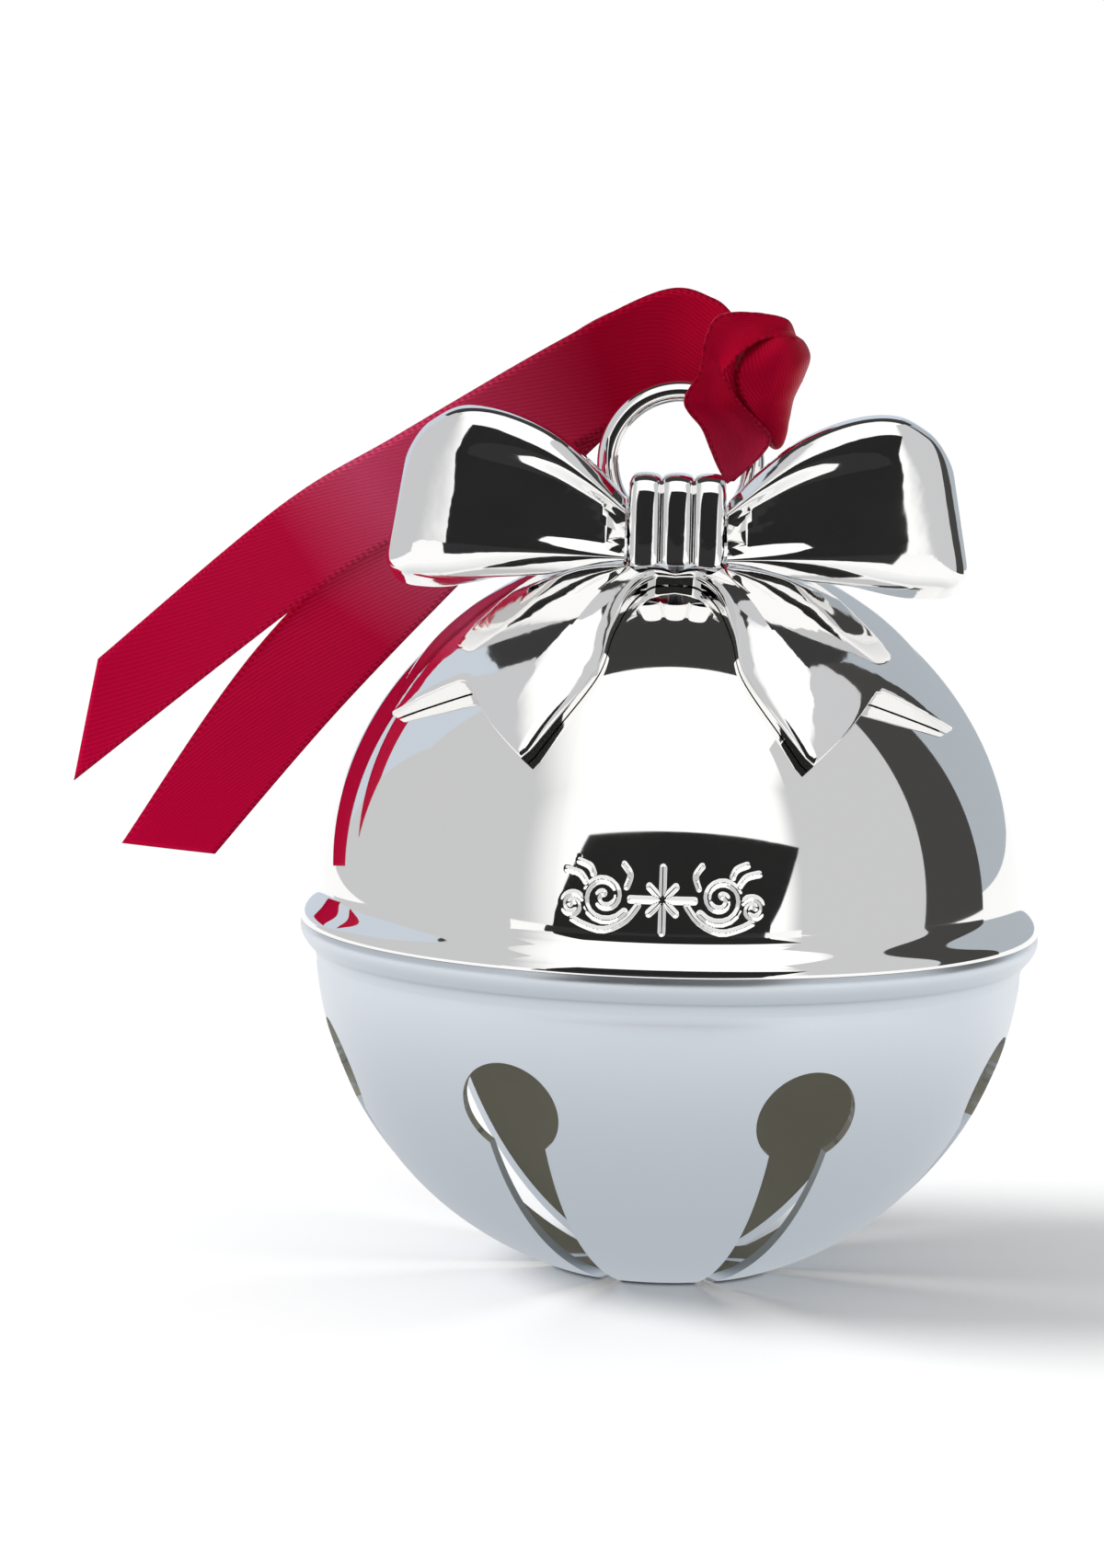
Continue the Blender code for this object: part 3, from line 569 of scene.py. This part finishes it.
def add_world():
    """White to the camera, bluish grey in reflections, and a soft even light on the rest."""
    world = bpy.data.worlds.new("studio")
    world.use_nodes = True
    nodes, links = world.node_tree.nodes, world.node_tree.links
    plain = nodes["Background"]
    plain.inputs["Color"].default_value = (1, 1, 1, 1)
    plain.inputs["Strength"].default_value = WORLD_STRENGTH
    reflected = nodes.new("ShaderNodeBackground")
    reflected.inputs["Color"].default_value = (*WORLD_REFLECTED, 1)
    seen = nodes.new("ShaderNodeBackground")
    seen.inputs["Color"].default_value = (1, 1, 1, 1)
    rays = nodes.new("ShaderNodeLightPath")
    shown = plain
    for kind, other in (("Is Glossy Ray", reflected), ("Is Camera Ray", seen)):
        mix = nodes.new("ShaderNodeMixShader")
        links.new(rays.outputs[kind], mix.inputs["Fac"])
        links.new(shown.outputs[0], mix.inputs[1])
        links.new(other.outputs["Background"], mix.inputs[2])
        shown = mix
    links.new(shown.outputs[0], nodes["World Output"].inputs["Surface"])
    bpy.context.scene.world = world
    bpy.context.scene.view_settings.view_transform = "Standard"


def add_floor():
    h = FLOOR_HALF * MM
    mesh = plain_mesh("floor", [(-h, -h, 0), (h, -h, 0), (h, h, 0), (-h, h, 0)], [(0, 1, 2, 3)])
    new_piece("floor", mesh, new_material("floor", (0.95, 0.95, 0.95), 0.0, 0.9)[0])


def add_lights():
    sun = bpy.data.objects.new("key_light", bpy.data.lights.new("key_light", "SUN"))
    sun.data.angle = radians(SUN_SOFTNESS)
    sun.data.energy = SUN_STRENGTH
    sun.rotation_euler = (-Vector(SUN_FROM)).to_track_quat("-Z", "Y").to_euler()
    inner = bpy.data.objects.new("inner_glow", bpy.data.lights.new("inner_glow", "POINT"))
    inner.data.energy = INNER_POWER
    inner.data.shadow_soft_size = INNER_LAMP_R * MM
    inner.location = (0, 0, INNER_LAMP_Z * MM)
    for light in (sun, inner):
        light.visible_glossy = False
        bpy.context.scene.collection.objects.link(light)


# Ribbon ------------------------------------------------------------------------------------------------


def ribbon_strip(name, edges_a, edges_b, crown, rows=72, columns=12):
    """Ribbon between two edges. Crown raises its middle, in step with the edges' points."""

    def ends_at(share):
        return Vector(curve_point(edges_a, share)), Vector(curve_point(edges_b, share))

    grid, along, reach = [], [0.0], 0.01
    for k in range(rows + 1):
        share = k / rows
        a, b = ends_at(share)
        after, before = min(1.0, share + reach), max(0.0, share - reach)
        ahead, behind = ends_at(after), ends_at(before)
        heading = (ahead[0] + ahead[1] - (behind[0] + behind[1])) / (after - before)
        normal = heading.cross(b - a).normalized()
        height = curve_point([(c,) for c in crown], share)[0]
        grid.append([a.lerp(b, c / columns) + normal * height * (1 - (2 * c / columns - 1) ** 2)
                     for c in range(columns + 1)])
        if k:
            along.append(along[-1] + (grid[-1][columns // 2] - grid[-2][columns // 2]).length)
    strip = grid_piece(name, grid, RIBBON, angle=180)
    add_uv(strip.data, "cloth", lambda index: (index % (columns + 1) / columns * RIBBON_WIDTH,
                                               along[index // (columns + 1)]))
    solidify = strip.modifiers.new("Solidify", "SOLIDIFY")
    solidify.thickness = RIBBON_THICKNESS * MM
    solidify.offset = 0
    modifiers_applied(strip)
    return strip, along[-1]


def add_ribbon_strands():
    """The two strands: they leave the knot behind the ring and hang beside the bell."""
    for name, top, bottom in (("upper", UPPER_TOP, UPPER_BOTTOM), ("lower", LOWER_TOP, LOWER_BOTTOM)):
        strand, length = ribbon_strip(f"{name}_strand", top, bottom, STRAND_CROWN, rows=150)
        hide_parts(f"ribbon_tail_{name}", f"ribbon_bend_{name}")
        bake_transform(strand)


def add_knot_core():
    """The rounded middle of the ribbon's knot, under its folds."""
    bm = bmesh.new()
    bmesh.ops.create_uvsphere(bm, u_segments=32, v_segments=20, radius=MM)
    bmesh.ops.scale(bm, vec=CORE_HALF_SIZE, verts=bm.verts[:])
    bmesh.ops.translate(bm, vec=Vector(CORE_PLACE) * MM, verts=bm.verts[:])
    mesh = mesh_of("knot_core", bm)
    smooth(mesh)
    add_uv(mesh, "cloth", lambda index: mesh.vertices[index].co.xz / MM)
    core = new_piece("knot_core", mesh, RIBBON)
    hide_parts("ribbon_knot")
    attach(core, "ring")


def add_knot_strips():
    """The knot's folds: a collar that comes down through the ring, a lobe at its right, and the back."""
    # The last three of each: flat length in metres and area in square metres, which nothing reads, and nodes
    # replaced
    parts = (("knot_collar", COLLAR_OUTER, COLLAR_INNER, COLLAR_CROWN, 0.0245, 0.0001, ["ribbon_loop"]),
             ("knot_lobe", LOBE_OUTER, LOBE_INNER, LOBE_CROWN, 0.0125, 0.000088, []),
             ("knot_back", BACK_UPPER, BACK_LOWER, BACK_CROWN, 0.021, 0.0001, []))
    for name, edge_a, edge_b, crown, length, area, stands_for in parts:
        strip, _ = ribbon_strip(name, edge_a, edge_b, [-c for c in crown], rows=96, columns=16)
        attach(strip, "ring")
        if stands_for:
            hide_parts(*stands_for)


# Bell --------------------------------------------------------------------------------------------------


def spiral(centre, start_radius, end_radius, start_angle, turns):
    """Points of a spiral, by angles in degrees."""
    points = []
    for t in np.linspace(0, 1, 30):
        a = radians(start_angle + 360 * turns * t)
        r = start_radius + (end_radius - start_radius) * t
        points.append((centre[0] + r * cos(a), centre[1] + r * sin(a)))
    return points


def bent(points):
    """A smooth line through a few points."""
    return [curve_point(points, k / 12) for k in range(13)]


def flourish_strokes():
    """Engraved lines as (half width scale, points): an eight-pointed star between scrolls and leaves."""
    strokes = []
    for k in range(4):
        a = radians(45 * k)
        reach = 2.9 if k % 2 == 0 else 1.7
        strokes.append((1.2, [(reach * t * cos(a), reach * t * sin(a)) for t in (-1, 0, 1)]))
    for side in (-1, 1):
        right_half = [
            (1.25, spiral((5.3, 0.15), 2.3, 0.35, 215, 1.6)),
            (1.1, spiral((8.25, -0.75), 1.15, 0.3, 150, -1.3)),
            (1.0, bent([(2.2, -0.5), (3.3, -1.9), (5.2, -2.85), (7.0, -2.5), (8.2, -1.95)])),
            (0.95, bent([(7.0, 1.3), (7.7, 2.1), (8.9, 2.4)])),
            (0.95, bent([(6.4, 2.1), (6.8, 2.8), (7.8, 3.2)])),
            (0.95, bent([(3.3, 1.1), (3.0, 2.2), (3.6, 3.1)])),
        ]
        strokes += [(scale, [(side * x, y) for x, y in points]) for scale, points in right_half]
    return strokes


def groove_depth():
    """A function of (azimuth, height) that gives the engraving's depth."""
    starts, ends, widths = [], [], []
    for scale, points in flourish_strokes():
        for a, b in zip(points, points[1:]):
            starts.append(a)
            ends.append(b)
            widths.append(scale * GROOVE_HALF_WIDTH)
    starts, ends, widths = np.array(starts), np.array(ends), np.array(widths)
    spans = ends - starts
    lengths = (spans**2).sum(axis=1)

    def depth(azimuth, height):
        azimuth = (azimuth + pi) % (2 * pi) - pi
        u, v = azimuth * DOME_R, height - FLOURISH_Z
        if abs(u) > FLOURISH_HALF_WIDTH or abs(v) > FLOURISH_HALF_HEIGHT:
            return 0.0
        offset = np.array((u, v)) - starts
        share = np.clip((offset * spans).sum(axis=1) / lengths, 0, 1)
        away = np.sqrt(((offset - spans * share[:, None]) ** 2).sum(axis=1))
        return GROOVE_DEPTH * max(0.0, float((1 - away / widths).max()))

    return depth


def add_dome():
    def outside_radius(z):
        """The sphere's radius at a height, plus a flare that starts and ends smoothly."""
        t = min(1.0, max(0.0, (FLARE_TOP - z) / (FLARE_TOP - SEAM_Z)))
        return sqrt(DOME_R**2 - (z - DOME_Z) ** 2) + FLARE_OUT * t**3 * (6 * t**2 - 15 * t + 10)

    top, low = FLOURISH_Z + FLOURISH_HALF_HEIGHT, FLOURISH_Z - FLOURISH_HALF_HEIGHT
    profile = arc(DOME_R, DOME_Z, 90, 14.6, 56)
    for z in [*np.linspace(top - 0.1, low, 80), *np.linspace(low - 0.1, SEAM_Z + SEAM_GAP, 34)]:
        profile.append((outside_radius(z), float(z)))
    profile += FLARE_INSIDE + arc(DOME_R - WALL, DOME_Z, 5, 90, 40)
    fine = radians(17)
    azimuths = list(np.linspace(-fine, fine, 260)) + list(np.linspace(fine, 2 * pi - fine, 200)[1:-1])
    dome = lathe("dome_skin", profile, azimuths, SILVER, inwards=groove_depth())
    mark_inside(dome, Vector((0, 0, DOME_Z)), DOME_R - WALL / 2)
    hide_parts("upper_shell")
    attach(dome, "bell")


def mark_inside(piece, centre, radius):
    """Gives a shell's inner faces the duller inside finish."""
    piece.data.materials.append(INSIDE_SILVER)
    for face in piece.data.polygons:
        offset = face.center / MM - centre
        if offset.length < radius and offset.dot(face.normal) < 0:
            face.material_index = 1


def cut(piece, cutter):
    """Cuts one solid from another, and returns the cutter."""
    boolean = piece.modifiers.new(cutter.name, "BOOLEAN")
    boolean.object = cutter
    return cutter


def keyhole_cutters(piece):
    """A radial cylinder and an upright wedge with a round tip for each keyhole."""
    cutters = []
    hole_z = BOWL_Z - BOWL_R * cos(radians(HOLE_POLAR))
    spread = tan(radians(SLOT_HALF_ANGLE))
    tip = SLOT_END_R * spread
    wedge = [(CUTTER_REACH * spread, -CUTTER_REACH), (-CUTTER_REACH * spread, -CUTTER_REACH)]
    for k in range(13):
        a = pi * k / 12
        wedge.append((-tip * cos(a), -SLOT_END_R + tip * (sin(a) - 1)))
    for index in range(KEYHOLES):
        turn = Matrix.Rotation(2 * pi * (index + 0.5) / KEYHOLES, 4, "Z")
        out = turn @ Vector((0, -sin(radians(HOLE_POLAR)), -cos(radians(HOLE_POLAR))))
        place = (Vector((0, 0, BOWL_Z)) + out * BOWL_R) * MM
        frame_at_hole = Matrix.Translation(place) @ out.to_track_quat("Z", "Y").to_matrix().to_4x4()
        bm = bmesh.new()
        bmesh.ops.create_cone(bm, cap_ends=True, segments=72, radius1=HOLE_R * MM, radius2=HOLE_R * MM,
                              depth=CUTTER_LENGTH * MM, matrix=frame_at_hole)
        mesh = mesh_of(f"hole_cutter_{index}", bm)
        cutters.append(cut(piece, new_piece(mesh.name, mesh, None)))
        rows = [[turn @ Vector((x, y, z)) for x, y in wedge] for z in (-1, hole_z)]
        slot = grid_piece(f"slot_cutter_{index}", rows, None, wrap_columns=True, caps=True)
        cutters.append(cut(piece, slot))
    return cutters


def add_bowl():
    foot_r = sqrt(BOWL_R**2 - BOWL_Z**2)
    floor_r = sqrt((BOWL_R - WALL) ** 2 - (BOWL_Z - WALL) ** 2)
    profile = [(0.0, WALL), (2.0, WALL), (floor_r, WALL)]
    profile += [p for p in arc(BOWL_R - WALL, BOWL_Z, -90, -5, 48) if p[1] > WALL + 0.06]
    profile += [(LIP_R - LIP_WALL, LIP_TOP), (LIP_R, LIP_TOP), (LIP_R, SEAM_Z + 0.02)]
    profile += [curve_point(HEM, k / 22) for k in range(23)]
    profile += [p for p in arc(BOWL_R, BOWL_Z, -6.2, -90, 60) if p[1] > 0.06]
    profile += [(foot_r, 0.0), (2.0, 0.0), (0.0, 0.0)]
    bowl = lathe("bowl_skin", profile, [2 * pi * k / 252 for k in range(252)], BOWL_SILVER_WITH_PAINTED_SHADE)
    cutters = keyhole_cutters(bowl)
    modifiers_applied(bowl)
    for cutter in cutters:
        bpy.data.objects.remove(cutter)
    smooth(bowl.data, 30)
    mark_inside(bowl, Vector((0, 0, BOWL_Z)), BOWL_R - WALL / 2)
    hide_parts("lower_shell")
    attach(bowl, "bell")


def add_ring(steps=144, sides=32):
    rows = []
    for k in range(steps):
        a = 2 * pi * k / steps
        out = Vector((sin(a), 0, -cos(a)))
        centre = Vector((0, 0, PIVOT_Z + RING_R)) + out * RING_R
        rows.append([centre + (out * cos(b) + Vector((0, 1, 0)) * sin(b)) * RING_WIRE_R
                     for b in (2 * pi * j / sides for j in range(sides))])
    ring = grid_piece("ring_wire", rows, SILVER, wrap_rows=True, wrap_columns=True)
    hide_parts("hanging_ring")
    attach(ring, "ring")


def staple_leg(side, way, steps=8):
    """The staple's bent foot inside the dome, up to the leg it ends on."""
    leg = [(way * STAPLE_FOOT, side * STAPLE_R, STAPLE_FOOT_Z)]
    for k in range(steps + 1):
        a = radians(90 * (1 - k / steps))
        leg.append((way * STAPLE_BEND_R * (1 - cos(a)), side * STAPLE_R,
                    STAPLE_FOOT_Z + STAPLE_BEND_R * (1 - sin(a))))
    return leg


def add_staple(steps=24):
    angles = [pi * k / steps for k in range(steps + 1)]
    arch = [(0, -STAPLE_R * cos(a), PIVOT_Z + STAPLE_R * sin(a)) for a in angles]
    path = staple_leg(-1, 1) + arch + staple_leg(1, -1)[::-1]
    staple = wire("staple_wire", path, STAPLE_WIRE_R, SILVER)
    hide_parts("ring_staple")
    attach(staple, "bell")


def add_ball():
    bm = bmesh.new()
    bmesh.ops.create_uvsphere(bm, u_segments=64, v_segments=40, radius=BALL_R * MM,
                              matrix=Matrix.Translation((0, 0, BALL_Z * MM)))
    mesh = mesh_of("ball_skin", bm)
    smooth(mesh)
    ball = new_piece("ball_skin", mesh, STEEL)
    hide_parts("jingle_ball")
    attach(ball, "ball")


# Bow ---------------------------------------------------------------------------------------------------


def rounded_ring(half_y, half_z, power, count):
    """(y, z) offsets once round a rounded rectangle; a smaller power is squarer."""
    ring = []
    for k in range(count):
        a = 2 * pi * k / count
        y = half_y * abs(cos(a)) ** power * (1 if cos(a) > 0 else -1)
        z = half_z * abs(sin(a)) ** power * (1 if sin(a) > 0 else -1)
        ring.append((y, z))
    return ring


def add_bow_knot(steps=16):
    """The bow's knot, as rounded sections that swell at each rib."""
    sections = []
    for k in range(RIBS * steps + 1):
        share = k / (RIBS * steps)
        from_middle = 2 * (k % steps) / steps - 1
        swell = RIB_HEIGHT * sqrt(max(0.0, 1 - from_middle**2))
        end = min(share, 1 - share) * 2 * KNOT_HALF_WIDTH
        swell -= KNOT_EDGE_DROP * max(0.0, 1 - end / KNOT_EDGE_ROUND) ** 2
        ring = rounded_ring(KNOT_HALF_DEPTH + swell, KNOT_HALF_HEIGHT + 0.7 * swell, KNOT_SQUARENESS, 96)
        x = KNOT_HALF_WIDTH * (2 * share - 1)
        sections.append([kept_outside((x, BOW_Y + y, KNOT_Z + z), KNOT_SEAT_R) for y, z in ring])
    knot = grid_piece("knot_of_bow", sections, CAST_SILVER, wrap_columns=True, caps=True, angle=50)
    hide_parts("bow_knot")
    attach(knot, "bell")


def loop_sweep(x):
    """How far a loop is swept back at x: a bend, then an even slope to its end."""
    bend = min(max(x - SWEEP_START, 0.0), SWEEP_EVEN - SWEEP_START)
    return SWEEP_SLOPE * (bend**2 / (2 * (SWEEP_EVEN - SWEEP_START)) + max(0.0, x - SWEEP_EVEN))


def loop_section(x, side):
    """A loop's rounded cross-section at one distance from the middle of the bow."""
    top, bottom = smooth_table(LOOP_TOP, x), smooth_table(LOOP_BOTTOM, x)
    half_y = smooth_table(LOOP_HALF_DEPTH, x)
    drop = smooth_table(LOOP_BACK_DROP, x)
    start, end = LOOP_TOP[0][0], LOOP_TOP[-1][0]
    into_end = min(1.0, max(0.0, x - end + LOOP_END_ROUND) / LOOP_END_ROUND)
    inset = LOOP_END_INSET * (1 - sqrt(1 - into_end**2))
    flute = FLUTE_DEPTH * max(0.0, 1 - (x - start) / FLUTE_LENGTH) ** FLUTE_FADE
    section = []
    for y, z in rounded_ring(half_y - inset, (top - bottom) / 2 - inset, LOOP_SQUARENESS, 128):
        height = z / (top - bottom) + 0.5
        back = (y / half_y + 1) / 2
        y *= 1 - flute / half_y * cos(2 * pi * FLUTES * height)
        y += loop_sweep(x)
        z -= drop * back * (1 - height)
        lean = LOOP_END_LEAN * height * ((x - start) / (end - start)) ** 2
        point = ((x - lean) * side, BOW_Y + y, (top + bottom) / 2 + z)
        section.append(kept_outside(point, LOOP_SEAT_R))
    return section


def add_bow_loop(name, side):
    """One loop, from the knot to its rounded end."""
    start, end = LOOP_TOP[0][0], LOOP_TOP[-1][0]
    stations = [start + (end - LOOP_END_ROUND - start) * k / 52 for k in range(53)]
    stations += [end - LOOP_END_ROUND * (1 - sin(radians(90 * k / 12))) for k in range(1, 13)]
    sections = [loop_section(x, side) for x in stations]
    loop = grid_piece(f"loop_of_bow_{name}", sections, CAST_SILVER, wrap_columns=True, caps=True, angle=60)
    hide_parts(f"bow_loop_{name}")
    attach(loop, "bell")


def tail_columns():
    """(edge pair, share across, lift, end shift, distance from a side), from the outer edge inwards."""
    columns = []
    rounding = [TAIL_EDGE_ROUND * share for share in EDGE_STEPS]
    for u in [d / PANEL_WIDTH for d in rounding] + [c / 18 for c in range(1, 19)]:
        lift, shift = np.interp(u, PANEL_SHARE, PANEL_LIFT), np.interp(u, PANEL_SHARE, PANEL_SHIFT)
        columns.append((0, u, float(lift), float(shift), u * PANEL_WIDTH))
    for u in [c / 9 for c in range(1, 9)] + [1 - d / BAND_WIDTH for d in reversed(rounding)]:
        lift, shift = np.interp(u, BAND_SHARE, BAND_LIFT), np.interp(u, BAND_SHARE, BAND_SHIFT)
        columns.append((1, u, float(lift), float(shift), (1 - u) * BAND_WIDTH))
    return columns


def edge_drop(distance):
    """How far a tail's rounded edge falls, at a distance in from it."""
    into = TAIL_EDGE_ROUND - min(distance, TAIL_EDGE_ROUND)
    return TAIL_EDGE_ROUND - sqrt(TAIL_EDGE_ROUND**2 - into**2)


def slab(name, top, bottom, material):
    """A closed solid between two grids of points that have the same rows and columns."""
    rows, columns = len(top), len(top[0])
    below = rows * columns
    faces = grid_faces(rows, columns)
    faces += [[k + below for k in reversed(face)] for face in faces]
    rim = [*range(columns), *range(2 * columns - 1, below, columns)]
    rim += [*range(below - 2, below - columns - 1, -1), *range(below - 2 * columns, 0, -columns)]
    faces += [[rim[k - 1], rim[k - 1] + below, rim[k] + below, rim[k]] for k in range(len(rim))]
    mesh = plain_mesh(name, [p * MM for grid in (top, bottom) for row in grid for p in row], faces)
    bm = bmesh.new()
    bm.from_mesh(mesh)
    bmesh.ops.recalc_face_normals(bm, faces=bm.faces[:])
    bm.to_mesh(mesh)
    bm.free()
    return new_piece(name, mesh, material)


def add_bow_tail(name, side):
    """One tail, lying on the dome and folded along its crease, with a notched end."""
    top, bottom = [], []
    near_end = [1 - TAIL_EDGE_ROUND * step / TAIL_LENGTH for step in reversed(EDGE_STEPS)]
    for share in [k / 56 for k in range(56)] + near_end:
        edges = [curve_point(edge, share) for edge in (TAIL_OUTER, TAIL_CREASE, TAIL_INNER)]
        ripple = TAIL_RIPPLE * sin(2 * pi * (TAIL_RIPPLES * share + TAIL_RIPPLE_START)) * min(1.0, share * 3)
        end_drop = edge_drop((1 - share) * TAIL_LENGTH)
        rise = 0.5 + 0.5 * min(1.0, share * TAIL_RISE)
        rise *= 1 - TAIL_TAPER * (max(0.0, share - 0.5) / 0.5) ** 2
        top_row, bottom_row = [], []
        for pair, across, lift, shift, from_side in tail_columns():
            first, second = edges[pair], edges[pair + 1]
            azimuth = side * (first[0] + (second[0] - first[0]) * across)
            polar = first[1] + (second[1] - first[1]) * across + shift * share**4
            wave = ripple * sin(pi * across) * (1 if pair == 0 else BAND_RIPPLE)
            height = TAIL_GAP + TAIL_THICKNESS + lift * rise + wave - max(end_drop, edge_drop(from_side))
            top_row.append(on_dome(azimuth, polar, DOME_R + height))
            bottom_row.append(on_dome(azimuth, polar, DOME_R + TAIL_GAP))
        top.append(top_row)
        bottom.append(bottom_row)
    tail = slab(f"tail_of_bow_{name}", top, bottom, CAST_SILVER)
    smooth(tail.data, 40)
    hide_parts(f"bow_tail_{name}")
    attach(tail, "bell")


def dress_cad_nodes():
    """Steel for the parts inside the dome that are shown as in the CAD."""
    for node in ("staple_plate", "bow_screw", "bow_washer"):
        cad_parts[node].data.materials.clear()
        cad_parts[node].data.materials.append(STEEL)


add_camera()
add_knot_core()
add_knot_strips()
add_ribbon_strands()
add_dome()
add_bowl()
add_ring()
add_staple()
add_ball()
add_bow_knot()
for side_name, side_sign in (("left", -1), ("right", 1)):
    add_bow_loop(side_name, side_sign)
    add_bow_tail(side_name, side_sign)
dress_cad_nodes()
add_world()
add_wall_cards()
add_table_end()
add_floor_glow()
add_floor()
add_lights()
